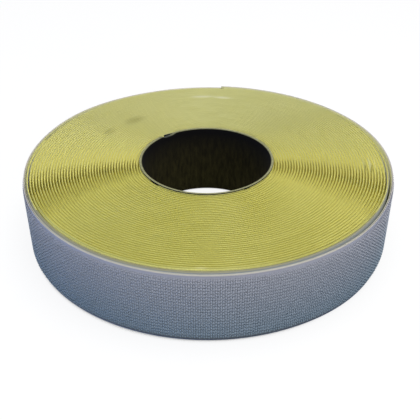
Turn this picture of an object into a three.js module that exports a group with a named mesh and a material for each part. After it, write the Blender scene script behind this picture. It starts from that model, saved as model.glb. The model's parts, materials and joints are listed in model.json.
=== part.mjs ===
// A shop roll of self-adhesive hook tape, lying flat on the lower rim of its paperboard core.
// Millimetres, +Z up. The origin is on the core's axis, at the plane that the roll stands on.
// Seen from above, the tape winds outwards anticlockwise, with its hooks facing out and its glue and release
// liner facing in.

import * as THREE from 'three';

// Core: a plain wound tube, a little longer than the tape is wide.
const coreBore = 92;
const coreWall = 2;
const coreHeight = 54;
const coreChamfer = 0.4;
const coreSides = 96;

// Hook tape: a woven ground cloth with a raised field of hooks between two bare selvages.
const tapeWidth = 50;
const selvageWidth = 2;
const clothThickness = 0.45;
const hookHeight = 1.15;

// Glue on the tape's inward face, and the release liner that covers it. In the inner turns the liner stands
// past both tape edges, and in the outer turn it is flush with them.
const adhesiveThickness = 0.2;
const linerThickness = 0.12;
const linerOverhang = 1.2;

// Clearances: tape to core, wound layer to layer, sheet to sheet in the outer turn, and across a cut end.
const coreClearance = 0.3;
const layerClearance = 0.12;
const sheetClearance = 0.05;
const cutClearance = 0.3;

// Winding. Each modelled loop of the inner turns stands for two turns of tape and liner.
const turnsPerLoop = 2;
const stepsPerLoop = 24;
const innerSteps = 477;
const stepUpShare = 0.085;
const startAngle = 129.25;
const bareStartSteps = 2;

// Outer turn, at its real section. It lies loose, and its tip stands off the roll.
const outerStepsPerTurn = 36;
const freeEndSteps = 3;
const tipSlack = 1.4;

// The roll is a little off round: its turns bulge on one side, and the outer ones the most. The outer turn
// stands off the roll in four more places.
const bulgeHeight = 1;
const bulgeAngle = 18;
const bulgeSpread = 50;
const bulgePower = 3;
const backSwellHeight = 1.3;
const backSwellAngle = 141;
const backSwellSpread = 17;
const frontSwellHeight = 0.7;
const frontSwellAngle = 275;
const frontSwellSpread = 35;
const sideSwellHeight = 1.1;
const sideSwellAngle = 316;
const sideSwellSpread = 20;
const rightSwellHeight = 0.95;
const rightSwellAngle = 22;
const rightSwellSpread = 28;

const fullTurn = 360;
const radiansPerDegree = Math.PI / 180;

// Heights of the strips: all are centred on the core.
const tapeBottom = (coreHeight - tapeWidth) / 2;
const tapeTop = tapeBottom + tapeWidth;
const linerBottom = tapeBottom - linerOverhang;
const linerTop = tapeTop + linerOverhang;

// Radial build-up of the inner loops, from the liner's inward face.
const coreRadius = coreBore / 2 + coreWall;
const turnThickness = linerThickness + adhesiveThickness + clothThickness + hookHeight;
const loopPitch = turnsPerLoop * turnThickness;
const loopLiner = turnsPerLoop * linerThickness;
const loopTapeInside = loopLiner + layerClearance;
const loopTapeOutside = loopPitch - layerClearance;
const flatToCorner = 1 / Math.cos(Math.PI / stepsPerLoop);
const windingStartRadius = (coreRadius + coreClearance) * flatToCorner;

// Radial build-up of the outer turn, from its liner's inward face.
const outerAdhesiveInside = linerThickness + sheetClearance;
const outerClothInside = outerAdhesiveInside + adhesiveThickness + sheetClearance;
const outerClothOutside = outerClothInside + clothThickness;
const outerTurnThickness = outerClothOutside + hookHeight;

// Colours and finishes, as THREE.MeshStandardMaterial takes them.
const finishes = {
  paperboard: { color: 0x3b2c22, roughness: 0.9, metalness: 0 },
  hookCloth: { color: 0x8f93a6, roughness: 0.7, metalness: 0 },
  glue: { color: 0xc9c8bd, roughness: 0.25, metalness: 0 },
  linerPaper: { color: 0xcfcf72, roughness: 0.55, metalness: 0 },
};

const roll = new THREE.Group();

function addPiece(name, geometry, finish) {
  geometry.computeVertexNormals();
  const mesh = new THREE.Mesh(geometry, new THREE.MeshStandardMaterial(finish));
  mesh.name = name;
  roll.add(mesh);
}

// Closed section of a plain strip, as [distance out from the path, height] pairs, anticlockwise.
function flatSection(inside, outside, bottom, top) {
  return [[inside, bottom], [outside, bottom], [outside, top], [inside, top]];
}

// Section of the outer turn's tape: the cloth from edge to edge, and the hook field raised on it.
function hookTapeSection() {
  return [
    [outerClothInside, tapeBottom],
    [outerClothOutside, tapeBottom],
    [outerClothOutside, tapeBottom + selvageWidth],
    [outerTurnThickness, tapeBottom + selvageWidth],
    [outerTurnThickness, tapeTop - selvageWidth],
    [outerClothOutside, tapeTop - selvageWidth],
    [outerClothOutside, tapeTop],
    [outerClothInside, tapeTop],
  ];
}

// Sweeps sections round the axis. Each station has the angle and radius of the path and its own section.
function sweepStrip(stations) {
  const positions = [];
  const triangles = [];
  const corners = stations[0].section.length;
  for (const { angle, radius, section } of stations) {
    const turned = angle * radiansPerDegree;
    for (const [out, height] of section) {
      positions.push((radius + out) * Math.cos(turned), (radius + out) * Math.sin(turned), height);
    }
  }
  for (let station = 0; station + 1 < stations.length; station += 1) {
    for (let corner = 0; corner < corners; corner += 1) {
      const here = station * corners + corner;
      const beside = station * corners + ((corner + 1) % corners);
      triangles.push(here, here + corners, beside + corners);
      triangles.push(here, beside + corners, beside);
    }
  }
  const outline = stations[0].section.map(([out, height]) => new THREE.Vector2(out, height));
  const lastRing = (stations.length - 1) * corners;
  for (const [a, b, c] of THREE.ShapeUtils.triangulateShape(outline, [])) {
    triangles.push(a, b, c);
    triangles.push(lastRing + a, lastRing + c, lastRing + b);
  }
  const geometry = new THREE.BufferGeometry();
  geometry.setAttribute('position', new THREE.Float32BufferAttribute(positions, 3));
  geometry.setIndex(triangles);
  return geometry;
}

// How many loop pitches the path has climbed after a number of steps. The first loop hugs the core and steps
// up over its own start at its end. Farther out, that step is spread more and more over the whole loop.
function climbAfter(step) {
  const loop = Math.floor(step / stepsPerLoop);
  const share = step / stepsPerLoop - loop;
  const late = Math.max(0, 1 - (1 - share) / stepUpShare);
  const evenness = (loop * stepsPerLoop) / innerSteps;
  return loop + late * (1 - evenness) + share * evenness;
}

// How far a round swelling stands out at an angle, from its height, the angle of its middle and its spread.
function swellingAt(angle, height, middle, spread) {
  const turned = (angle - middle) / fullTurn;
  const aside = fullTurn * (turned - Math.round(turned));
  return height * Math.exp(-((aside / spread) ** 2));
}

function bulgeAt(angle) {
  return swellingAt(angle, bulgeHeight, bulgeAngle, bulgeSpread);
}

function innerStation(step, section) {
  const angle = startAngle + (step * fullTurn) / stepsPerLoop;
  const bulge = bulgeAt(angle) * (step / innerSteps) ** bulgePower;
  return { angle, radius: windingStartRadius + loopPitch * climbAfter(step) + bulge, section };
}

// The tape's first steps are stuck straight to the core, so there it lies where the liner lies farther on.
function innerTapeStations() {
  const stations = [];
  for (let step = 0; step <= innerSteps; step += 1) {
    const lifted = loopTapeInside * Math.min(1, step / bareStartSteps);
    const section = flatSection(lifted, lifted + loopTapeOutside - loopTapeInside, tapeBottom, tapeTop);
    stations.push(innerStation(step, section));
  }
  return stations;
}

function innerLinerStations() {
  const stations = [];
  const section = flatSection(0, loopLiner, linerBottom, linerTop);
  for (let step = bareStartSteps; step <= innerSteps; step += 1) {
    stations.push(innerStation(step, section));
  }
  return stations;
}

// The outer turn goes on from the end of the inner turns, with its outward face flush with theirs.
const innerEndAngle = startAngle + (innerSteps * fullTurn) / stepsPerLoop;
const innerEndRadius = windingStartRadius + loopPitch * (climbAfter(innerSteps) + 1);
const outerTurnClimb = outerTurnThickness + tipSlack;

function outerTurnRadius(angle, travel) {
  const loose =
    swellingAt(angle, backSwellHeight, backSwellAngle, backSwellSpread) +
    swellingAt(angle, frontSwellHeight, frontSwellAngle, frontSwellSpread) +
    swellingAt(angle, sideSwellHeight, sideSwellAngle, sideSwellSpread) +
    swellingAt(angle, rightSwellHeight, rightSwellAngle, rightSwellSpread);
  const climb = (outerTurnClimb * travel) / fullTurn;
  return innerEndRadius - outerTurnThickness + climb + bulgeAt(angle) + loose;
}

// Stations from one step of the outer turn to another. The first one keeps the cut's clearance.
function outerStations(firstStep, lastStep, section) {
  const stations = [];
  const cutAngle = cutClearance / innerEndRadius / radiansPerDegree;
  for (let step = firstStep; step <= lastStep; step += 1) {
    const travel = (step * fullTurn) / outerStepsPerTurn + (step === firstStep ? cutAngle : 0);
    const angle = innerEndAngle + travel;
    stations.push({ angle, radius: outerTurnRadius(angle, travel), section });
  }
  return stations;
}

// Least radial gap of a strip to its own next loop, measured square to the flats between stations.
function leastGapToItself(stations) {
  let least = Infinity;
  for (let step = 0; step + stepsPerLoop < stations.length; step += 1) {
    const under = stations[step];
    const over = stations[step + stepsPerLoop];
    const underOutside = under.radius + Math.max(...under.section.map(([out]) => out));
    const overInside = over.radius + Math.min(...over.section.map(([out]) => out));
    least = Math.min(least, (overInside - underOutside) / flatToCorner);
  }
  return least;
}

function coreGeometry() {
  const boreRadius = coreBore / 2;
  const profile = [
    [boreRadius + coreChamfer, 0],
    [coreRadius - coreChamfer, 0],
    [coreRadius, coreChamfer],
    [coreRadius, coreHeight - coreChamfer],
    [coreRadius - coreChamfer, coreHeight],
    [boreRadius + coreChamfer, coreHeight],
    [boreRadius, coreHeight - coreChamfer],
    [boreRadius, coreChamfer],
    [boreRadius + coreChamfer, 0],
  ];
  const geometry = new THREE.LatheGeometry(profile.map(([r, z]) => new THREE.Vector2(r, z)), coreSides);
  return geometry.rotateX(Math.PI / 2);
}

addPiece('core_tube', coreGeometry(), finishes.paperboard);

// Inner turns: the tape and its liner, each one unbroken strip from the core to the outer turn.
const tapeStations = innerTapeStations();
const linerStations = innerLinerStations();
addPiece('hook_tape_inner_turns', sweepStrip(tapeStations), finishes.hookCloth);
addPiece('release_liner_inner_turns', sweepStrip(linerStations), finishes.linerPaper);
console.log(`hook tape, least gap to itself ${leastGapToItself(tapeStations).toFixed(3)} mm`);
console.log(`release liner, least gap to itself ${leastGapToItself(linerStations).toFixed(3)} mm`);

// Outer turn and free end: the tape with its selvages and hook field, the glue under it, and the liner.
const sheets = {
  hook_tape: [hookTapeSection(), finishes.hookCloth],
  adhesive: [
    flatSection(outerAdhesiveInside, outerAdhesiveInside + adhesiveThickness, tapeBottom, tapeTop),
    finishes.glue,
  ],
  release_liner: [flatSection(0, linerThickness, tapeBottom, tapeTop), finishes.linerPaper],
};
const rootStep = outerStepsPerTurn - freeEndSteps;
for (const [sheet, [section, finish]] of Object.entries(sheets)) {
  addPiece(`${sheet}_outer_turn`, sweepStrip(outerStations(0, rootStep, section)), finish);
}
for (const [sheet, [section, finish]] of Object.entries(sheets)) {
  const stations = outerStations(rootStep, outerStepsPerTurn, section);
  addPiece(`${sheet}_free_end`, sweepStrip(stations), finish);
}

export default roll;
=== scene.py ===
# A shop roll of self-adhesive hook tape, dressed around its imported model.
# Sizes are in millimetres, and MM turns them into Blender's metres.

import json
import math

import bmesh
import bpy
from mathutils import Matrix, Vector, noise


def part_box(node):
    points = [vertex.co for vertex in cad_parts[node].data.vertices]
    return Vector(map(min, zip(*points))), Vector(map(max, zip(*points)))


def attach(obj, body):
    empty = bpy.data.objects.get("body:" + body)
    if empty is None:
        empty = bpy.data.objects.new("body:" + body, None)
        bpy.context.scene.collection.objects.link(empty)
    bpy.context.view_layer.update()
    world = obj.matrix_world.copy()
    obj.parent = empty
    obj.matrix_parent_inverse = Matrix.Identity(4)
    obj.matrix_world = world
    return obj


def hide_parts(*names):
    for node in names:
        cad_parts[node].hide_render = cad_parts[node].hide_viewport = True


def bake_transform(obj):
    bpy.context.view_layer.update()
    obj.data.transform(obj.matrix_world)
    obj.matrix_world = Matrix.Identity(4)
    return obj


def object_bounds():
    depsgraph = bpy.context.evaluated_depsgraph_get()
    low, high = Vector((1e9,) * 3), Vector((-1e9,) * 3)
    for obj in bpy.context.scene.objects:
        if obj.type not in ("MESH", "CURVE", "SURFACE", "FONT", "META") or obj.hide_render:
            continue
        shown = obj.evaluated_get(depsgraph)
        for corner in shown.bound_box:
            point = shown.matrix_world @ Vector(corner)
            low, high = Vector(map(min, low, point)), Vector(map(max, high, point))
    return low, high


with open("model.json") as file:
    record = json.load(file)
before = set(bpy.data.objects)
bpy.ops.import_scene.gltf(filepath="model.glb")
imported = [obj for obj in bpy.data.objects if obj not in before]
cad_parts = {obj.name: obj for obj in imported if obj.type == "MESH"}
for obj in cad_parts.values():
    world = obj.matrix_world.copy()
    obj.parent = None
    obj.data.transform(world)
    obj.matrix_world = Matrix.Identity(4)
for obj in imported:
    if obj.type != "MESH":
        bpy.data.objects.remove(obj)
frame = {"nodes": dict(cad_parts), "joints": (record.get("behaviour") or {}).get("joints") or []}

MM = 0.001
cad_box = [list(corner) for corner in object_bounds()]


# Camera: it stands in front of the roll and looks down on it, from about half a metre off.
# The aim is a little below and to the right of the roll's middle, as the photograph frames it.
CAMERA_DISTANCE = 509.1
CAMERA_ELEVATION = math.radians(32.15)
CAMERA_TURN = math.radians(0.19)
FRAME_PIXELS = 420
FOCAL_PIXELS = 690.8
MIDDLE_PIXEL = (206.65, 190.02)
SENSOR_WIDTH = 36.0
NEAREST_SEEN = 10.0

roll_middle = Vector((0, 0, (cad_box[0][2] + cad_box[1][2]) / 2))
forward = Vector((0, math.cos(CAMERA_ELEVATION), -math.sin(CAMERA_ELEVATION)))
right = Vector((1, 0, 0))
up = right.cross(forward)
aim = forward * FOCAL_PIXELS
aim += right * (FRAME_PIXELS / 2 - MIDDLE_PIXEL[0])
aim += up * (MIDDLE_PIXEL[1] - FRAME_PIXELS / 2)
aim.normalize()
side = aim.cross(up).normalized()
camera = bpy.data.objects.new("camera", bpy.data.cameras.new("camera"))
bpy.context.scene.collection.objects.link(camera)
turn = Matrix((side, side.cross(aim), -aim)).transposed() @ Matrix.Rotation(-CAMERA_TURN, 3, "Z")
camera.matrix_world = Matrix.Translation(roll_middle - forward * CAMERA_DISTANCE * MM) @ turn.to_4x4()
camera.data.sensor_width = SENSOR_WIDTH
camera.data.lens = FOCAL_PIXELS / FRAME_PIXELS * SENSOR_WIDTH
camera.data.clip_start = NEAREST_SEEN * MM
bpy.context.scene.camera = camera
bpy.context.scene.view_settings.view_transform = "Standard"


# Studio: an even pale surround, soft lamps overhead, in front and on the left, and a white floor. The
# camera and mirror-like surfaces see the surround and the floor as white. The floor keeps a faint shadow,
# and a dark line where light can't get in under the roll.
SURROUND_LEVEL = 0.72
SHADOW_SHARE = 0.12
FLOOR_SIZE = 4000.0

# The floor is darkest where CLOSED_SKY or less of the space within CONTACT_REACH is open, and clear from
# OPEN_SKY.
CONTACT_REACH = 5.0
CLOSED_SKY = 0.25
OPEN_SKY = 0.6

# Each lamp has its place, its diameter, its power in watts and its colour.
LAMPS = {
    "overhead_lamp": ((110, 0, 890), 500, 3.95, "#fffaf0"),
    "front_lamp": ((500, -970, 400), 600, 3.85, "#eef3ff"),
    "left_lamp": ((-1000, -240, 180), 400, 2.7, "#88b8ff"),
}


def linear(colour):
    """An sRGB hex colour as the linear colour that a node takes."""
    channels = [int(colour[i : i + 2], 16) / 255 for i in (1, 3, 5)]
    return [c / 12.92 if c <= 0.04045 else ((c + 0.055) / 1.055) ** 2.4 for c in channels] + [1]


def add_node(tree, kind, links, **settings):
    """Adds a node. Each entry of links sets an input, by name or number, to a value or to a socket."""
    node = tree.nodes.new(kind)
    for name, value in settings.items():
        setattr(node, name, value)
    for name, value in links.items():
        if isinstance(value, bpy.types.NodeSocket):
            tree.links.new(value, node.inputs[name])
        else:
            node.inputs[name].default_value = value
    return node


def add_seen_rays(tree):
    """1 for the rays that show the background: the camera's, and those that mirrors and glass send on."""
    tree.nodes.clear()
    rays = add_node(tree, "ShaderNodeLightPath", {})
    seen = add_node(
        tree,
        "ShaderNodeMath",
        {0: rays.outputs["Is Camera Ray"], 1: rays.outputs["Is Glossy Ray"]},
        operation="MAXIMUM",
    )
    return add_node(
        tree,
        "ShaderNodeMath",
        {0: seen.outputs[0], 1: rays.outputs["Is Transmission Ray"]},
        operation="MAXIMUM",
    )


world = bpy.data.worlds.new("surround")
world.use_nodes = True
bpy.context.scene.world = world
tree = world.node_tree
seen = add_seen_rays(tree)
light = add_node(tree, "ShaderNodeBackground", {"Color": linear("#f0f4ff"), "Strength": SURROUND_LEVEL})
white = add_node(tree, "ShaderNodeBackground", {"Color": linear("#ffffff"), "Strength": 1.0})
surround = add_node(
    tree, "ShaderNodeMixShader", {0: seen.outputs[0], 1: light.outputs[0], 2: white.outputs[0]}
)
add_node(tree, "ShaderNodeOutputWorld", {"Surface": surround.outputs[0]})

for name, (place, size, power, colour) in LAMPS.items():
    lamp = bpy.data.objects.new(name, bpy.data.lights.new(name, "AREA"))
    bpy.context.scene.collection.objects.link(lamp)
    lamp.data.shape = "DISK"
    lamp.data.size = size * MM
    lamp.data.energy = power
    lamp.data.color = linear(colour)[:3]
    lamp.location = Vector(place) * MM
    lamp.rotation_euler = (roll_middle - lamp.location).to_track_quat("-Z", "Y").to_euler()

floor_material = bpy.data.materials.new("white_floor")
floor_material.use_nodes = True
tree = floor_material.node_tree
seen = add_seen_rays(tree)
white_paint = add_node(tree, "ShaderNodeBsdfDiffuse", {"Color": linear("#ffffff")})
sky = add_node(tree, "ShaderNodeAmbientOcclusion", {"Distance": CONTACT_REACH * MM})
lift = add_node(
    tree,
    "ShaderNodeMapRange",
    {"Value": sky.outputs["AO"], "From Min": CLOSED_SKY, "From Max": OPEN_SKY},
)
glow = add_node(tree, "ShaderNodeEmission", {"Strength": lift.outputs[0]})
white = add_node(
    tree, "ShaderNodeMixShader", {0: SHADOW_SHARE, 1: glow.outputs[0], 2: white_paint.outputs[0]}
)
grey_paint = add_node(tree, "ShaderNodeBsdfDiffuse", {"Color": linear("#84929f")})
paint = add_node(
    tree, "ShaderNodeMixShader", {0: seen.outputs[0], 1: grey_paint.outputs[0], 2: white.outputs[0]}
)
add_node(tree, "ShaderNodeOutputMaterial", {"Surface": paint.outputs[0]})

bm = bmesh.new()
bmesh.ops.create_grid(bm, x_segments=1, y_segments=1, size=FLOOR_SIZE / 2 * MM)
floor = bpy.data.objects.new("floor", bpy.data.meshes.new("floor"))
bm.to_mesh(floor.data)
bm.free()
bpy.context.scene.collection.objects.link(floor)
floor.data.materials.append(floor_material)


# Core: a tube of brown paperboard, wound from strips of board on a slant and glued. Its cut ends are
# square with worn edges, and the upper one is crushed where the strip starts.
core_low, core_high = (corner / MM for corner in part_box("core_tube"))
CORE_BORE_RADIUS = 46.0
BORE_EDGE = 0.9
OUTER_EDGE = 0.3
EDGE_SEGMENTS = 4
CORE_SIDES = 240
SHARP_TOLERANCE = 0.01

# The crushed place: its angle in degrees, its depth, half its width in degrees and its dip's squareness.
RIM_DENT = (128.0, 1.5, 6.5, 4)

# The painted shade on the crushed place: its angle in degrees, its radius, half its length round the rim,
# half its width and its strength.
RIM_SHADE = (130.0, 47.0, 7.5, 7.0, 0.9)

# A mark has its full strength at the first share of its half size, and fades to none at the second.
MARK_FULL = 0.1
MARK_GONE = 1.3


def finish_piece(bm, name, material, body, stands_for, smooth=True):
    """Makes a mesh of millimetres a piece in metres that rides on a body and stands for CAD nodes."""
    bmesh.ops.scale(bm, vec=(MM, MM, MM), verts=bm.verts)
    piece = bpy.data.objects.new(name, bpy.data.meshes.new(name))
    bm.to_mesh(piece.data)
    bm.free()
    bpy.context.scene.collection.objects.link(piece)
    piece.data.materials.append(material)
    if smooth:
        piece.data.shade_smooth()
    if isinstance(body, str):
        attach(piece, body)
    else:
        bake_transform(piece)
    if stands_for:
        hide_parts(*stands_for)


def surface_material(name, settings):
    """A principled material with its shader's own settings, and its tree, shader and texture places."""
    material = bpy.data.materials.new(name)
    material.use_nodes = True
    tree = material.node_tree
    shader = tree.nodes["Principled BSDF"]
    for socket, value in settings.items():
        shader.inputs[socket].default_value = value
    places = add_node(tree, "ShaderNodeTexCoord", {})
    return material, tree, shader, places


def mark_share(tree, places, angle, radius, along, across, strength):
    """The share of a soft-edged oval mark, from its angle in degrees, its radius, half its length along
    the turns and half its width across them."""
    turned = math.radians(angle)
    local = add_node(
        tree,
        "ShaderNodeMapping",
        {
            "Vector": places.outputs["Object"],
            "Location": (math.cos(turned) * radius * MM, math.sin(turned) * radius * MM, 0),
            "Rotation": (0, 0, turned),
            "Scale": (across * MM, along * MM, 1),
        },
        vector_type="TEXTURE",
    )
    away = add_node(tree, "ShaderNodeVectorMath", {0: local.outputs[0]}, operation="LENGTH")
    share = add_node(
        tree,
        "ShaderNodeMapRange",
        {
            "Value": away.outputs["Value"],
            "From Min": MARK_FULL,
            "From Max": MARK_GONE,
            "To Min": strength,
            "To Max": 0.0,
        },
        interpolation_type="SMOOTHSTEP",
    )
    return share.outputs[0]


# Chipboard: dark brown lining paper in the bore, with painted shade that darkens it towards the top, and
# cut grey board on the two rims, with painted shade where the upper one is crushed. Its fibres run up the
# bore and are drawn 2 mm wide so that they show.
FIBRE_PLACES = (1000, 1000, 260)
FIBRE_SCALE = 0.45
FIBRE_RELIEF = 0.2
FLECK_TONES = (0.34, 0.68)
LINING_COLOURS = ("#282411", "#474122")
BOARD_COLOURS = ("#7d7d5b", "#959370")

# Where the painted shade in the bore begins and is full, by height, and where a cut end does, by the
# upright part of its normal.
BORE_SHADE_HEIGHTS = (10.0, 50.0)
CUT_END_TILTS = (0.35, 0.99)

paperboard, tree, shader, places = surface_material(
    "wound_paperboard", {"Roughness": 0.92, "Specular IOR Level": 0.1}
)
fibres = add_node(tree, "ShaderNodeMapping", {"Vector": places.outputs["Object"], "Scale": FIBRE_PLACES})
flecks = add_node(
    tree,
    "ShaderNodeTexNoise",
    {"Vector": fibres.outputs[0], "Scale": FIBRE_SCALE, "Detail": 6, "Roughness": 0.6},
)
lining = add_node(tree, "ShaderNodeValToRGB", {"Fac": flecks.outputs["Fac"]})
board = add_node(tree, "ShaderNodeValToRGB", {"Fac": flecks.outputs["Fac"]})
for ramp, colours in ((lining, LINING_COLOURS), (board, BOARD_COLOURS)):
    for stop, place, colour in zip(ramp.color_ramp.elements, FLECK_TONES, colours):
        stop.position = place
        stop.color = linear(colour)
spot = add_node(tree, "ShaderNodeSeparateXYZ", {0: places.outputs["Object"]})
# Painted shade: the lining darkens to near black towards the top of the bore.
bore_shade = add_node(
    tree,
    "ShaderNodeMapRange",
    {
        "Value": spot.outputs["Z"],
        "From Min": BORE_SHADE_HEIGHTS[0] * MM,
        "From Max": BORE_SHADE_HEIGHTS[1] * MM,
    },
)
bore = add_node(
    tree,
    "ShaderNodeMix",
    {0: bore_shade.outputs[0], 6: lining.outputs["Color"], 7: linear("#080708")},
    data_type="RGBA",
)
surface = add_node(tree, "ShaderNodeNewGeometry", {})
normal = add_node(tree, "ShaderNodeSeparateXYZ", {0: surface.outputs["Normal"]})
tilt = add_node(tree, "ShaderNodeMath", {0: normal.outputs["Z"]}, operation="ABSOLUTE")
cut_end = add_node(
    tree,
    "ShaderNodeMapRange",
    {"Value": tilt.outputs[0], "From Min": CUT_END_TILTS[0], "From Max": CUT_END_TILTS[1]},
)
# Painted shade: the rim darkens where it is crushed, by the strip's start.
rims = add_node(
    tree,
    "ShaderNodeMix",
    {0: mark_share(tree, places, *RIM_SHADE), 6: board.outputs["Color"], 7: linear("#33383c")},
    data_type="RGBA",
)
tones = add_node(
    tree,
    "ShaderNodeMix",
    {0: cut_end.outputs[0], 6: bore.outputs[2], 7: rims.outputs[2]},
    data_type="RGBA",
)
grain = add_node(
    tree,
    "ShaderNodeBump",
    {"Height": flecks.outputs["Fac"], "Strength": 0.5, "Distance": FIBRE_RELIEF * MM},
)
tree.links.new(tones.outputs[2], shader.inputs["Base Color"])
tree.links.new(grain.outputs[0], shader.inputs["Normal"])

bm = bmesh.new()
corners = [
    (CORE_BORE_RADIUS, core_low.z),
    (core_high.x, core_low.z),
    (core_high.x, core_high.z),
    (CORE_BORE_RADIUS, core_high.z),
]
bm.faces.new([bm.verts.new((radius, 0, height)) for radius, height in corners])
for radius, offset in ((CORE_BORE_RADIUS, BORE_EDGE), (core_high.x, OUTER_EDGE)):
    sharp = [point for point in bm.verts if abs(point.co.x - radius) < SHARP_TOLERANCE]
    bmesh.ops.bevel(
        bm,
        geom=sharp,
        offset=offset,
        segments=EDGE_SEGMENTS,
        profile=0.5,
        affect="VERTICES",
        material=-1,
    )
outline = bm.edges[:]
bmesh.ops.delete(bm, geom=bm.faces[:], context="FACES_ONLY")
bmesh.ops.spin(
    bm,
    geom=bm.verts[:] + outline,
    cent=(0, 0, 0),
    axis=(0, 0, 1),
    angle=math.tau,
    steps=CORE_SIDES,
    use_merge=True,
)
angle, depth, reach, squareness = RIM_DENT
for point in bm.verts:
    if point.co.z > core_high.z - BORE_EDGE - SHARP_TOLERANCE:
        aside = math.degrees(math.atan2(point.co.y, point.co.x)) - angle
        point.co.z -= depth * math.exp(-((aside / reach) ** squareness))
bmesh.ops.recalc_face_normals(bm, faces=bm.faces)
finish_piece(bm, "paperboard_core", paperboard, "roll", ["core_tube"])


# Release liner: one strip of yellow siliconised paper, wound with the tape and a little wider than it.
# Its edges stand past the tape's on both faces of the roll, a little wavy, and hide the tape behind them.
tape_low, tape_high = (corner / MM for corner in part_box("hook_tape_outer_turn"))
liner_low, liner_high = (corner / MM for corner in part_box("release_liner_inner_turns"))
tail_points = frame["nodes"]["hook_tape_free_end"].data.vertices
tip_radius = max(point.co.xy.length for point in tail_points) / MM

# The layers of one turn, from the core outwards. A small gap keeps one layer's mesh off the next.
LINER_THICKNESS = 0.12
GLUE_THICKNESS = 0.2
CLOTH_THICKNESS = 0.45
HOOK_HEIGHT = 1.15
SHEET_GAP = 0.05

# The angles in degrees of the strip's start and of its tip, the number of turns under the outer one, the
# share of a turn in which a turn steps up over the start, and how far the outer turn climbs as it goes
# round over the loose turn below.
START_ANGLE = 130.5
TIP_ANGLE = 84.25
WHOLE_TURNS = 41
INNER_TURNS = WHOLE_TURNS + (TIP_ANGLE - START_ANGLE) / 360
STEP_UP = 0.035
OUTER_CLIMB = 3.42

# Where the winding swells out of round. A swell has its middle in degrees, its height and its spread in
# degrees. The right-hand bulge grows from the core outwards, and the swell over the start fades over a
# few turns.
SIDE_BULGE = (18.0, 1.0, 50.0)
BULGE_POWER = 3
START_SWELL = (124.5, 1.0, 6.0)
START_SWELL_FIRST = 0.5
START_SWELL_TURNS = 3.0

# The outer turn lies loose in four places and close in two, and is tucked in a little just past its
# start.
LOOSE_SWELLS = [(141.0, 1.3, 17.0), (275.0, 0.7, 35.0), (316.0, 1.1, 20.0), (22.0, 0.95, 28.0)]
CLOSE_SWELLS = [(192.0, -0.5, 14.0), (350.0, -0.4, 20.0)]
OUTER_TUCK = 0.5
OUTER_TUCK_TURNS = 0.08

glue_inside = LINER_THICKNESS + SHEET_GAP
cloth_inside = glue_inside + GLUE_THICKNESS + SHEET_GAP
hooks_inside = cloth_inside + CLOTH_THICKNESS
turn_thickness = hooks_inside + HOOK_HEIGHT
first_radius = core_high.x + SHEET_GAP


def degrees_past(angle, middle):
    """How far an angle lies past another, from -180 to 180 degrees."""
    return (angle - middle + 180) % 360 - 180


def swelling(angle, middle, height, spread):
    """Height of a round swelling at an angle, in degrees, from its middle, height and spread."""
    return height * math.exp(-((degrees_past(angle, middle) / spread) ** 2))


def climb_after(turns):
    """The climb in turns' thicknesses: the first turns step up over the start, the last climb evenly."""
    whole = math.floor(turns)
    share = turns - whole
    even = whole / INNER_TURNS
    late = max(0, 1 - (1 - share) / STEP_UP)
    return whole + late * (1 - even) + share * even


tip_swell = sum(swelling(TIP_ANGLE, *swell) for swell in [SIDE_BULGE] + LOOSE_SWELLS)
last_radius = tip_radius - turn_thickness - OUTER_CLIMB - tip_swell
turn_pitch = (last_radius - first_radius) / climb_after(INNER_TURNS)


def path_radius(turns):
    """Radius of the winding's inward face after a number of turns."""
    angle = START_ANGLE + turns * 360
    outward = min(1, turns / INNER_TURNS)
    bulge = swelling(angle, *SIDE_BULGE) * outward**BULGE_POWER
    if turns > START_SWELL_FIRST:
        bulge += swelling(angle, *START_SWELL) * math.exp(-turns / START_SWELL_TURNS)
    if turns <= INNER_TURNS:
        return first_radius + turn_pitch * climb_after(turns) + bulge
    loose = sum(swelling(angle, *swell) for swell in LOOSE_SWELLS + CLOSE_SWELLS)
    loose -= OUTER_TUCK * min(1, (turns - INNER_TURNS) / OUTER_TUCK_TURNS)
    return last_radius + OUTER_CLIMB * (turns - INNER_TURNS) + bulge + loose


def winding_angle(turns):
    """The angle in radians round the axis that the strip has reached after a number of turns."""
    return math.radians(START_ANGLE + turns * 360)


def wind_sheet(first, last, steps_per_turn, heights, inside, thickness, shape=None):
    """A flat sheet, cut to length, wound on the roll from one turn to another and then made thick. shape
    gives a point's extra radius and height from its turns and height. UV is along and across in mm."""
    bm = bmesh.new()
    steps = round((last - first) * steps_per_turn)
    bmesh.ops.create_grid(bm, x_segments=steps, y_segments=len(heights) - 1, size=1)
    uv_layer = bm.loops.layers.uv.new("UVMap")
    flat_places = {}
    for point in bm.verts:
        turns = first + (last - first) * (point.co.x + 1) / 2
        height = heights[round((point.co.y + 1) / 2 * (len(heights) - 1))]
        more_radius, more_height = shape(turns, height) if shape else (0, 0)
        radius = path_radius(turns) + inside + more_radius
        angle = winding_angle(turns)
        flat_places[point] = (math.pi * (first_radius + radius) * turns, height)
        point.co = (radius * math.cos(angle), radius * math.sin(angle), height + more_height)
    for face in bm.faces:
        for loop in face.loops:
            loop[uv_layer].uv = flat_places[loop.vert]
    bmesh.ops.recalc_face_normals(bm, faces=bm.faces)
    sample = bm.faces[:][0]
    if sample.normal.xy.dot(sample.calc_center_median().xy) > 0:
        bmesh.ops.reverse_faces(bm, faces=bm.faces)
    bmesh.ops.solidify(bm, geom=bm.faces[:], thickness=-thickness)
    return bm


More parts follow.
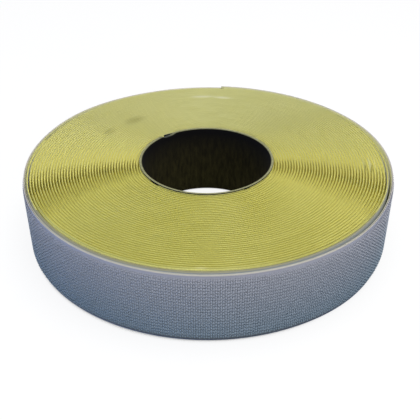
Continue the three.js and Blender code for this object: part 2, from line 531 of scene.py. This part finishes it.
# Painted light where the liner's edges were knocked: two patches of painted shade at the back, and
# painted highlights on bent edges. Each is an angle in degrees, a radius, half a length along the turns,
# half a width across them, a colour and its strength.
LINER_SHADE_AND_HIGHLIGHTS = [
    (131.8, 85.3, 10.0, 6.0, "#96923f", 0.35),
    (149.4, 86.5, 6.5, 5.0, "#96923f", 0.32),
    (92.0, 107.0, 11.0, 2.5, "#f6f5ea", 0.6),
    (82.5, 106.0, 9.0, 2.5, "#f6f5ea", 0.65),
    (357.2, 118.6, 9.0, 3.6, "#efeab0", 0.75),
    (268.5, 125.0, 4.5, 3.0, "#efeab0", 0.5),
]

# Glassine coated with silicone: smooth, faintly glossy, and thin enough to let light through. The face
# towards the glue is a full yellow, a little cloudy, and the back, towards the core, is painted paler: a
# painted sheen. The clouds are drawn some 36 mm wide.
CLOUDS_PER_METRE = 28.0
PAPER_TONES = ((0.35, "#d4cf70"), (0.65, "#dad67e"))
FACE_BLEND = 0.02
LIGHT_THROUGH = 0.35

liner_paper, tree, shader, places = surface_material("siliconised_paper", {"Roughness": 0.42})
clouds = add_node(
    tree,
    "ShaderNodeTexNoise",
    {"Vector": places.outputs["Object"], "Scale": CLOUDS_PER_METRE, "Detail": 3},
)
glued_side = add_node(tree, "ShaderNodeValToRGB", {"Fac": clouds.outputs["Fac"]})
for stop, (place, colour) in zip(glued_side.color_ramp.elements, PAPER_TONES):
    stop.position = place
    stop.color = linear(colour)
surface = add_node(tree, "ShaderNodeNewGeometry", {})
outward = add_node(
    tree,
    "ShaderNodeVectorMath",
    {0: surface.outputs["Normal"], 1: places.outputs["Object"]},
    operation="DOT_PRODUCT",
)
glued_share = add_node(
    tree,
    "ShaderNodeMapRange",
    {"Value": outward.outputs["Value"], "From Min": -FACE_BLEND, "From Max": FACE_BLEND},
)
# Painted sheen: the face towards the core is paler.
tones = add_node(
    tree,
    "ShaderNodeMix",
    {0: glued_share.outputs[0], 6: linear("#e0dfa6"), 7: glued_side.outputs["Color"]},
    data_type="RGBA",
)
# Painted shade and painted highlights on the knocked edges.
for angle, radius, along, across, colour, strength in LINER_SHADE_AND_HIGHLIGHTS:
    share = mark_share(tree, places, angle, radius, along, across, strength)
    tones = add_node(
        tree, "ShaderNodeMix", {0: share, 6: tones.outputs[2], 7: linear(colour)}, data_type="RGBA"
    )
tree.links.new(tones.outputs[2], shader.inputs["Base Color"])
through = add_node(tree, "ShaderNodeBsdfTranslucent", {"Color": tones.outputs[2]})
paper = add_node(
    tree, "ShaderNodeMixShader", {0: LIGHT_THROUGH, 1: shader.outputs[0], 2: through.outputs[0]}
)
tree.links.new(paper.outputs[0], tree.nodes["Material Output"].inputs["Surface"])

# The steps that the liner's mesh takes in a turn, and where it starts, in turns after the tape.
LINER_STEPS = 160
LINER_START = 0.06

# The free edges lean in and out by up to LINER_WAVE, in waves LINER_WAVELENGTH long. The two other values
# hold the noise of one turn, and of one edge, apart from the next, so that no two lean alike.
LINER_WAVE = 0.22
LINER_WAVELENGTH = 14.0
TURNS_APART = 3.7
EDGES_APART = 5.0

# Places where the liner's upper edge was knocked. Each is an angle in degrees, a radius, a length along
# the turns and a width across them, and how far the edge leans there, to one side and the other by turns.
LINER_KNOCKS = [
    (131.8, 85.3, 12.0, 3.0, 0.25),
    (149.4, 86.5, 9.0, 3.0, 0.25),
    (356.5, 114.6, 7.0, 3.2, 1.2),
    (267.5, 124.5, 3.5, 2.5, 0.6),
]

# A turn that stands apart, so that a dark line runs on either side of it: its angle, its radius, half its
# length in degrees and how far its neighbours lean away. It ends softly, and only turns within
# PARTED_WIDTH lean.
PARTED_TURN = (270.0, 105.5, 44.0, 0.35)
PARTED_SQUARENESS = 8
PARTED_WIDTH = 0.4

# Where the last inner turn's liner is pushed in nearly level with the tape: the middle and half the reach
# in degrees, with a ramp at each end.
SUNK_EDGE = [(97.5, 67.5), (245.0, 50.0)]
SUNK_RAMP = 20.0
SUNK_SHARE = 0.93

liner_heights = [
    liner_low.z,
    (liner_low.z + tape_low.z) / 2,
    tape_low.z,
    tape_high.z,
    (liner_high.z + tape_high.z) / 2,
    liner_high.z,
]


def liner_edge(turns, height):
    """The liner's free edges lean in and out. The upper one has its knocks and its sunk places too."""
    past = max(tape_low.z - height, height - tape_high.z, 0) / (liner_high.z - tape_high.z)
    if past == 0:
        return 0, 0
    radius = path_radius(turns)
    along = radius * turns * math.tau / LINER_WAVELENGTH
    edge = math.copysign(EDGES_APART, height - core_high.z / 2)
    lean = LINER_WAVE * noise.noise((along, math.floor(turns) * TURNS_APART, edge))
    if height < tape_high.z:
        return lean * past, 0
    turned = START_ANGLE + turns * 360
    for angle, ring, length, width, leaning in LINER_KNOCKS:
        along = math.radians(degrees_past(turned, angle)) * ring
        near = math.exp(-((along / length) ** 2) - ((radius - ring) / width) ** 2)
        lean += leaning * near * (-1) ** math.floor(turned / 360)
    angle, ring, reach, leaning = PARTED_TURN
    aside = degrees_past(turned, angle) / reach
    beside = abs(radius - ring) / turn_pitch
    near = math.exp(-(aside**PARTED_SQUARENESS) - ((beside - 1) / PARTED_WIDTH) ** 2)
    lean += math.copysign(leaning * near, radius - ring)
    sunk = 0
    if turns > INNER_TURNS - 1:
        for angle, reach in SUNK_EDGE:
            sunk += max(0, min(1, (reach - abs(degrees_past(turned, angle))) / SUNK_RAMP))
    left = 1 - sunk * SUNK_SHARE
    return lean * past * left, (left - 1) * (height - tape_high.z)


bm = wind_sheet(
    LINER_START, INNER_TURNS, LINER_STEPS, liner_heights, 0, LINER_THICKNESS, liner_edge
)
finish_piece(bm, "liner_strip", liner_paper, "roll", ["release_liner_inner_turns"])


# Start gap shade: a short wedge of painted shade on the core's rim, where the first turn climbs over the
# strip's first end and leaves a dark, shaded gap.
GAP_SHADE_TURNS = 0.034
GAP_SHADE_STEPS = 24
GAP_SHADE_SINK = 1.6


def points_among(geometry):
    """The vertices among what an operator made."""
    return [item for item in geometry if isinstance(item, bmesh.types.BMVert)]


# Painted shade: a matt black sheet that stands for the shaded gap.
painted_gap_shade = surface_material(
    "painted_gap_shade", {"Base Color": linear("#0a0a0c"), "Roughness": 0.8, "Specular IOR Level": 0.1}
)[0]

bm = bmesh.new()
bmesh.ops.create_grid(bm, x_segments=GAP_SHADE_STEPS, y_segments=1, size=1)
for point in bm.verts:
    angle = winding_angle(1 - GAP_SHADE_TURNS * (1 - point.co.x) / 2)
    height = core_high.z - GAP_SHADE_SINK if point.co.y > 0 else tape_low.z
    point.co = (core_high.x * math.cos(angle), core_high.x * math.sin(angle), height)
outer = bmesh.ops.extrude_face_region(bm, geom=bm.faces[:])["geom"]
for point in points_among(outer):
    turns = (math.degrees(math.atan2(point.co.y, point.co.x)) - START_ANGLE) / 360 + 1
    point.co.xy *= max(path_radius(turns) - SHEET_GAP, core_high.x + LINER_THICKNESS) / core_high.x
bmesh.ops.recalc_face_normals(bm, faces=bm.faces)
finish_piece(bm, "start_gap_shade", painted_gap_shade, "roll", [], smooth=False)


# Hook tape, inner turns: woven nylon cloth with glue on its inward face and hooks on its outward face.
# Only the strip's edges show, deep between the liner's edges, so the hooks of these turns are one low
# block.
SELVAGE = 2.0
TAPE_STEPS = 120
ROW_COUNT = 576

# The angles in degrees at which the last inner turn's edge changes, first from liner-lit to bare.
EDGE_CHANGES = (TIP_ANGLE, 165.0, 210.0, 328.0, 390.0)

# The last inner turn's hooks come nearer to the tape's edges than the others, and stand a little higher.
# They turn olive-grey where less than this many selvages below the upper edge, from the first to the
# second.
LAST_RIM = 0.3
LAST_STAND = 0.5
OLIVE_SELVAGES = (0.5, 0.25)

# The ribs' shade starts and is full at these many selvages below the upper edge. A furrow between two
# ribs starts and is full at these cosines of its place in the row.
RIBBED_SELVAGES = (1.1, 1.6)
FURROW_COSINES = (0.3, -0.6)
LAST_FURROW_SHADE = 0.5


def furrow_share(tree, spot, strength):
    """The share of shade between the weft's ribs, which run across the tape below its upper selvage."""
    angle = add_node(
        tree, "ShaderNodeMath", {0: spot.outputs["Y"], 1: spot.outputs["X"]}, operation="ARCTAN2"
    )
    row_phase = -math.radians(TIP_ANGLE) * ROW_COUNT
    phase = add_node(
        tree,
        "ShaderNodeMath",
        {0: angle.outputs[0], 1: ROW_COUNT, 2: row_phase},
        operation="MULTIPLY_ADD",
    )
    ribs = add_node(tree, "ShaderNodeMath", {0: phase.outputs[0]}, operation="COSINE")
    furrow = add_node(
        tree,
        "ShaderNodeMapRange",
        {
            "Value": ribs.outputs[0],
            "From Min": FURROW_COSINES[0],
            "From Max": FURROW_COSINES[1],
            "To Max": strength,
        },
    )
    ribbed = add_node(
        tree,
        "ShaderNodeMapRange",
        {
            "Value": spot.outputs["Z"],
            "From Min": (tape_high.z - SELVAGE * RIBBED_SELVAGES[0]) * MM,
            "From Max": (tape_high.z - SELVAGE * RIBBED_SELVAGES[1]) * MM,
        },
    )
    shade = add_node(
        tree, "ShaderNodeMath", {0: furrow.outputs[0], 1: ribbed.outputs[0]}, operation="MULTIPLY"
    )
    return shade.outputs[0]


# Woven nylon edge with glue along it, drawn in the liner's yellow and made light: painted yellow light
# from the liner, against the shade between its edges. Its specks are about a millimetre wide.
SPECKS_PER_METRE = 900.0
LINER_LIT_TONES = ((0.35, "#d1cc70"), (0.65, "#deda82"))

liner_lit_edge, tree, shader, places = surface_material("liner_lit_nylon_edge", {"Roughness": 0.75})
specks = add_node(
    tree,
    "ShaderNodeTexNoise",
    {"Vector": places.outputs["Object"], "Scale": SPECKS_PER_METRE, "Detail": 2},
)
tones = add_node(tree, "ShaderNodeValToRGB", {"Fac": specks.outputs["Fac"]})
for stop, (place, colour) in zip(tones.color_ramp.elements, LINER_LIT_TONES):
    stop.position = place
    stop.color = linear(colour)
tree.links.new(tones.outputs["Color"], shader.inputs["Base Color"])

# Bare nylon of the last inner turn's edge: a dull, greenish grey.
bare_nylon = surface_material("bare_nylon_edge", {"Base Color": linear("#7c7a60"), "Roughness": 0.6})[0]

# The last inner turn's hooks: blue-grey like the outer turn's, with shade between the ribs, and
# olive-grey along their upper edge.
bare_hooks, tree, shader, places = surface_material("bare_nylon_hooks", {"Roughness": 0.7})
spot = add_node(tree, "ShaderNodeSeparateXYZ", {0: places.outputs["Object"]})
upper_edge = add_node(
    tree,
    "ShaderNodeMapRange",
    {
        "Value": spot.outputs["Z"],
        "From Min": (tape_high.z - SELVAGE * OLIVE_SELVAGES[0]) * MM,
        "From Max": (tape_high.z - SELVAGE * OLIVE_SELVAGES[1]) * MM,
    },
)
rows = add_node(
    tree,
    "ShaderNodeMix",
    {0: furrow_share(tree, spot, LAST_FURROW_SHADE), 6: linear("#8b9199"), 7: linear("#3f454e")},
    data_type="RGBA",
)
tones = add_node(
    tree,
    "ShaderNodeMix",
    {0: upper_edge.outputs[0], 6: rows.outputs[2], 7: linear("#8f8d74")},
    data_type="RGBA",
)
tree.links.new(tones.outputs[2], shader.inputs["Base Color"])

# The hooks between the turns: a dark olive, painted yellow light from the liner and painted shade in the
# deep trench between its edges.
liner_lit_hooks = surface_material(
    "liner_lit_trench_hooks", {"Base Color": linear("#867d1e"), "Roughness": 0.7}
)[0]

bounds = [0] + [INNER_TURNS - 1 + (angle - TIP_ANGLE) / 360 for angle in EDGE_CHANGES] + [INNER_TURNS]
for number, (first, last) in enumerate(zip(bounds, bounds[1:])):
    bm = wind_sheet(
        first, last, TAPE_STEPS, [tape_low.z, tape_high.z], glue_inside, hooks_inside - glue_inside
    )
    name = f"hook_tape_wound_cloth_{number + 1}"
    material = bare_nylon if number % 2 else liner_lit_edge
    finish_piece(bm, name, material, "roll", ["hook_tape_inner_turns"])

for name, first, last, material, rim, stand in (
    ("hook_tape_wound_hooks", 0, INNER_TURNS - 1, liner_lit_hooks, SELVAGE, 0),
    ("hook_tape_last_inner_hooks", INNER_TURNS - 1, INNER_TURNS, bare_hooks, LAST_RIM, LAST_STAND),
):
    bm = wind_sheet(
        first,
        last,
        TAPE_STEPS,
        [tape_low.z + rim, tape_high.z - rim],
        hooks_inside + SHEET_GAP,
        turn_pitch - hooks_inside - SHEET_GAP * 2 + stand,
    )
    finish_piece(bm, name, material, "roll", [])


# Outer turn and free end: the same tape at full detail. The cloth is ribbed across by its weft, with a
# flat selvage along each edge, and each rib carries a row of hooks cut from nylon monofilament loops.
TAIL_ROWS = 48
ROOT_TURNS = INNER_TURNS + 1 - TAIL_ROWS / ROW_COUNT
BEND_LENGTH = 26.0

# The outer turn's liner ends this far inside the tape's edges.
OUTER_LINER_RIM = 0.1

# The weft's ribs fade out in the selvages, down to a share of their depth, and the upper selvage turns
# out. The cloth has points at each of these many selvages from its edges.
SELVAGE_PLACES = (0, 0.5, 1, 1.2)
CLOTH_STEPS = ROW_COUNT * 4
RIB_DEPTH = 0.2
SELVAGE_RIB = 0.15
EDGE_FLARE = 0.5
FLARE_REACH = 1.2

# A bend for the free end, from the hinge over a length of tape, given by its start and end. The pieces
# that carry it are only fixed in place.
hinge_place = Vector(frame["joints"][0]["pos_m"])
root_angle = winding_angle(ROOT_TURNS)
tail_bend = {
    "start": hinge_place,
    "end": hinge_place + Vector((-math.sin(root_angle), math.cos(root_angle), 0)) * BEND_LENGTH * MM,
}
spans = {
    "outer_turn": (INNER_TURNS, ROOT_TURNS, "roll"),
    "free_end": (ROOT_TURNS, INNER_TURNS + 1, tail_bend),
}

# The nylon's colours, with painted light and shade, from the tape's lower edge at 0 to its upper one at
# 1.
EDGE_TONES = ("#3c4b54", "#bdb4a4")
NYLON_TONES = [
    (0.09, "#7f9099"),
    (0.6, "#a0a4a9"),
    (0.93, "#b1b0b3"),
    (0.975, "#99929a"),
    (0.99, "#bdb4a4"),
]
NYLON_SHEEN = {"Sheen Weight": 0.4, "Sheen Roughness": 0.4, "Sheen Tint": linear("#8fb2f0")}


def painted_light_nylon(tree, places):
    """Grey nylon with painted light: lighter and warmer towards the upper edge, with a painted highlight
    along it, and darker and bluer towards the lower one, with painted shadow along it.
    """
    height = add_node(tree, "ShaderNodeSeparateXYZ", {0: places.outputs["Object"]})
    share = add_node(
        tree,
        "ShaderNodeMapRange",
        {"Value": height.outputs["Z"], "From Min": tape_low.z * MM, "From Max": tape_high.z * MM},
    )
    tones = add_node(tree, "ShaderNodeValToRGB", {"Fac": share.outputs[0]})
    for stop, colour in zip(tones.color_ramp.elements, EDGE_TONES):
        stop.color = linear(colour)
    for place, colour in NYLON_TONES:
        tones.color_ramp.elements.new(place).color = linear(colour)
    return tones.outputs["Color"]


# Woven nylon: a soft sheen on fine threads that run across the tape, shade between the ribs, painted
# light that lifts the cloth between the hooks, and painted shadow along the lower edge. The threads are
# drawn
# 0.4 mm thick and 3 mm long so that they show.
THREAD_PLACES = (2.6, 0.35, 1)
THREAD_RELIEF = 0.1
WORN_TONES = (0.3, 0.7)
WORN_SHARE = 0.1
# Painted light: a share of pale grey that lifts the cloth against the shade between its hooks.
CLOTH_PAINTED_LIGHT = 0.15
FURROW_SHADE = 0.2

# Painted shadow darkens the lower edge from the first to the second of these many selvages above it.
LOWER_SELVAGES = (1.6, 0.3)
LOWER_SHADE = 0.95

hook_cloth, tree, shader, places = surface_material("woven_nylon", {"Roughness": 0.62, **NYLON_SHEEN})
threads = add_node(tree, "ShaderNodeMapping", {"Vector": places.outputs["UV"], "Scale": THREAD_PLACES})
weave = add_node(
    tree,
    "ShaderNodeTexNoise",
    {"Vector": threads.outputs[0], "Scale": 1.0, "Detail": 2, "Roughness": 0.6},
)
spot = add_node(tree, "ShaderNodeSeparateXYZ", {0: places.outputs["Object"]})
worn = add_node(
    tree,
    "ShaderNodeMapRange",
    {
        "Value": weave.outputs["Fac"],
        "From Min": WORN_TONES[0],
        "From Max": WORN_TONES[1],
        "To Max": WORN_SHARE,
    },
)
# Painted shadow along the lower edge, where the roll stands close to the floor.
lower_edge = add_node(
    tree,
    "ShaderNodeMapRange",
    {
        "Value": spot.outputs["Z"],
        "From Min": (tape_low.z + SELVAGE * LOWER_SELVAGES[0]) * MM,
        "From Max": (tape_low.z + SELVAGE * LOWER_SELVAGES[1]) * MM,
        "To Max": LOWER_SHADE,
    },
)
tones = painted_light_nylon(tree, places)
for share, colour in (
    (worn.outputs[0], "#6f747e"),
    (CLOTH_PAINTED_LIGHT, "#e8e8ea"),
    (furrow_share(tree, spot, FURROW_SHADE), "#3f454e"),
    (lower_edge.outputs[0], "#13222a"),
):
    mixed = add_node(tree, "ShaderNodeMix", {0: share, 6: tones, 7: linear(colour)}, data_type="RGBA")
    tones = mixed.outputs[2]
grain = add_node(
    tree,
    "ShaderNodeBump",
    {"Height": weave.outputs["Fac"], "Strength": 0.5, "Distance": THREAD_RELIEF * MM},
)
tree.links.new(tones, shader.inputs["Base Color"])
tree.links.new(grain.outputs[0], shader.inputs["Normal"])

# Pressure-sensitive glue: clear, faintly grey and wet-looking.
glue = surface_material("acrylic_glue", {"Base Color": linear("#b9b8aa"), "Roughness": 0.2})[0]

# Nylon monofilament: smooth round bristle, glossier than the cloth, with the same painted light and shade
# by height.
monofilament, tree, shader, places = surface_material(
    "nylon_monofilament", {"Roughness": 0.45, **NYLON_SHEEN}
)
tree.links.new(painted_light_nylon(tree, places), shader.inputs["Base Color"])

cloth_heights = [tape_low.z + SELVAGE * place for place in SELVAGE_PLACES]
cloth_heights += [tape_high.z - SELVAGE * place for place in reversed(SELVAGE_PLACES)]


def weft_ribs(turns, height):
    """A point's extra radius and height on the cloth, with a rib of the weft under each row of hooks."""
    past = min(height - tape_low.z, tape_high.z - height) / SELVAGE
    row = (turns - INNER_TURNS) * ROW_COUNT
    rib = RIB_DEPTH * (math.cos(row * math.tau) - 1) / 2 * min(1, max(SELVAGE_RIB, past - SELVAGE_RIB))
    flare = EDGE_FLARE * max(0, 1 - (tape_high.z - height) / SELVAGE / FLARE_REACH) ** 2
    return rib + flare, 0


for span, (first, last, body) in spans.items():
    bm = wind_sheet(
        first,
        last,
        CLOTH_STEPS,
        cloth_heights,
        cloth_inside + RIB_DEPTH,
        CLOTH_THICKNESS - RIB_DEPTH,
        weft_ribs,
    )
    finish_piece(bm, "hook_cloth_" + span, hook_cloth, body, ["hook_tape_" + span])
    bm = wind_sheet(
        first, last, LINER_STEPS * 2, [tape_low.z, tape_high.z], glue_inside, GLUE_THICKNESS
    )
    finish_piece(bm, "glue_coat_" + span, glue, body, ["adhesive_" + span])
    heights = [tape_low.z + OUTER_LINER_RIM, tape_high.z - OUTER_LINER_RIM]
    bm = wind_sheet(first, last, LINER_STEPS * 2, heights, 0, LINER_THICKNESS)
    finish_piece(bm, "liner_" + span, liner_paper, body, ["release_liner_" + span])

# One hook is a thick bristle that stands off the cloth and bends over across the tape. It has five
# lengths, each bent over by its turn in degrees from the one before. The hooks are drawn thicker, and in
# fewer rows, than the real tape's, so that they show. Noise sways them and shifts each up or down. The
# swaying has a fixed seed, because Blender otherwise seeds it by the clock.
HOOK_SPACING = 1.15
HOOK_SIDES = 3
HOOK_RADIUS = 0.17
HOOK_TURNS = (0, 0, 35, 50, 45)
HOOK_LENGTHS = (0.42, 0.3, 0.22, 0.24, 0.22)
HOOK_SWAY = 0.1
SWAY_SEED = 1
SWAY_ALONG = 300
SWAY_UP = 0.9
HOOK_SHIFT = 0.3
CELL_MIDDLE = 0.5
ROWS_PER_PIECE = 132


def make_hook(bm):
    """Raises a bristle from the cloth and bends it over towards +Z."""
    base = bmesh.ops.create_circle(bm, segments=HOOK_SIDES, radius=HOOK_RADIUS, cap_ends=True)["verts"]
    bmesh.ops.rotate(bm, verts=base, cent=(0, 0, 0), matrix=Matrix.Rotation(math.pi / 2, 3, "Y"))
    tip = [face for face in bm.faces if base[0] in face.verts]
    heading = 0
    middle = Vector((0, 0, 0))
    for bend, length in zip(HOOK_TURNS, HOOK_LENGTHS):
        tip = bmesh.ops.extrude_face_region(bm, geom=tip)["geom"]
        points = points_among(tip)
        tip = [item for item in tip if isinstance(item, bmesh.types.BMFace)]
        bmesh.ops.rotate(
            bm, verts=points, cent=middle, matrix=Matrix.Rotation(-math.radians(bend), 3, "Y")
        )
        heading += math.radians(bend)
        move = Vector((math.cos(heading), 0, math.sin(heading))) * length
        bmesh.ops.translate(bm, verts=points, vec=move)
        middle += move


def make_hook_rows(first_row, rows):
    """A row of hooks across the tape, facing up and down by turns, is repeated along the tape by doubling
    and then laid on the winding."""
    bm = bmesh.new()
    make_hook(bm)
    points_per_hook = len(bm.verts)
    one = bm.verts[:] + bm.edges[:] + bm.faces[:]
    field = tape_high.z - tape_low.z - SELVAGE * 2
    count = int(field / HOOK_SPACING)
    first_height = tape_low.z + SELVAGE + (field - (count - 1) * HOOK_SPACING) / 2
    for place in range(1, count):
        points = points_among(bmesh.ops.duplicate(bm, geom=one)["geom"])
        if place % 2:
            bmesh.ops.rotate(bm, verts=points, cent=(0, 0, 0), matrix=Matrix.Rotation(math.pi, 3, "X"))
        bmesh.ops.translate(bm, verts=points, vec=(0, 0, place * HOOK_SPACING))
    bmesh.ops.translate(bm, verts=bm.verts, vec=(first_radius, 0, first_height))
    row_angle = math.tau / ROW_COUNT
    made = 1
    while made < rows:
        more = min(made, rows - made)
        bm.verts.ensure_lookup_table()
        source = bm.verts[: more * count * points_per_hook]
        edges = dict.fromkeys(edge for point in source for edge in point.link_edges)
        faces = dict.fromkeys(face for point in source for face in point.link_faces)
        copy = bmesh.ops.duplicate(bm, geom=source + list(edges) + list(faces))["geom"]
        bmesh.ops.rotate(
            bm,
            verts=points_among(copy),
            cent=(0, 0, 0),
            matrix=Matrix.Rotation(made * row_angle, 3, "Z"),
        )
        made += more
    bm.verts.ensure_lookup_table()
    for number, point in enumerate(bm.verts):
        row, place = divmod(number // points_per_hook, count)
        local = math.atan2(point.co.y, point.co.x) % math.tau
        if local > math.tau - row_angle:
            local -= math.tau
        turns = INNER_TURNS + (first_row / ROW_COUNT) + local / math.tau
        out = point.co.xy.length - first_radius
        sway = noise.noise_vector((local * SWAY_ALONG, point.co.z * SWAY_UP, first_row)) * HOOK_SWAY * out
        cell = (first_row + row + CELL_MIDDLE, place + CELL_MIDDLE, CELL_MIDDLE)
        shift = HOOK_SHIFT * (noise.cell(cell) - 1 / 2)
        stagger = (row % 2 - 1 / 2) * HOOK_SPACING / 2
        radius = path_radius(turns) + hooks_inside + out
        angle = winding_angle(turns) + sway.x / radius
        height = point.co.z + sway.y + shift + stagger
        point.co = (radius * math.cos(angle), radius * math.sin(angle), height)
    return bm


noise.seed_set(SWAY_SEED)
roll_rows = ROW_COUNT - TAIL_ROWS
batches = [(first_row, ROWS_PER_PIECE, "roll") for first_row in range(0, roll_rows, ROWS_PER_PIECE)]
batches.append((roll_rows, TAIL_ROWS, tail_bend))
for number, (first_row, rows, body) in enumerate(batches, 1):
    bm = make_hook_rows(first_row, rows)
    finish_piece(bm, f"hooks_{number}", monofilament, body, [], smooth=False)
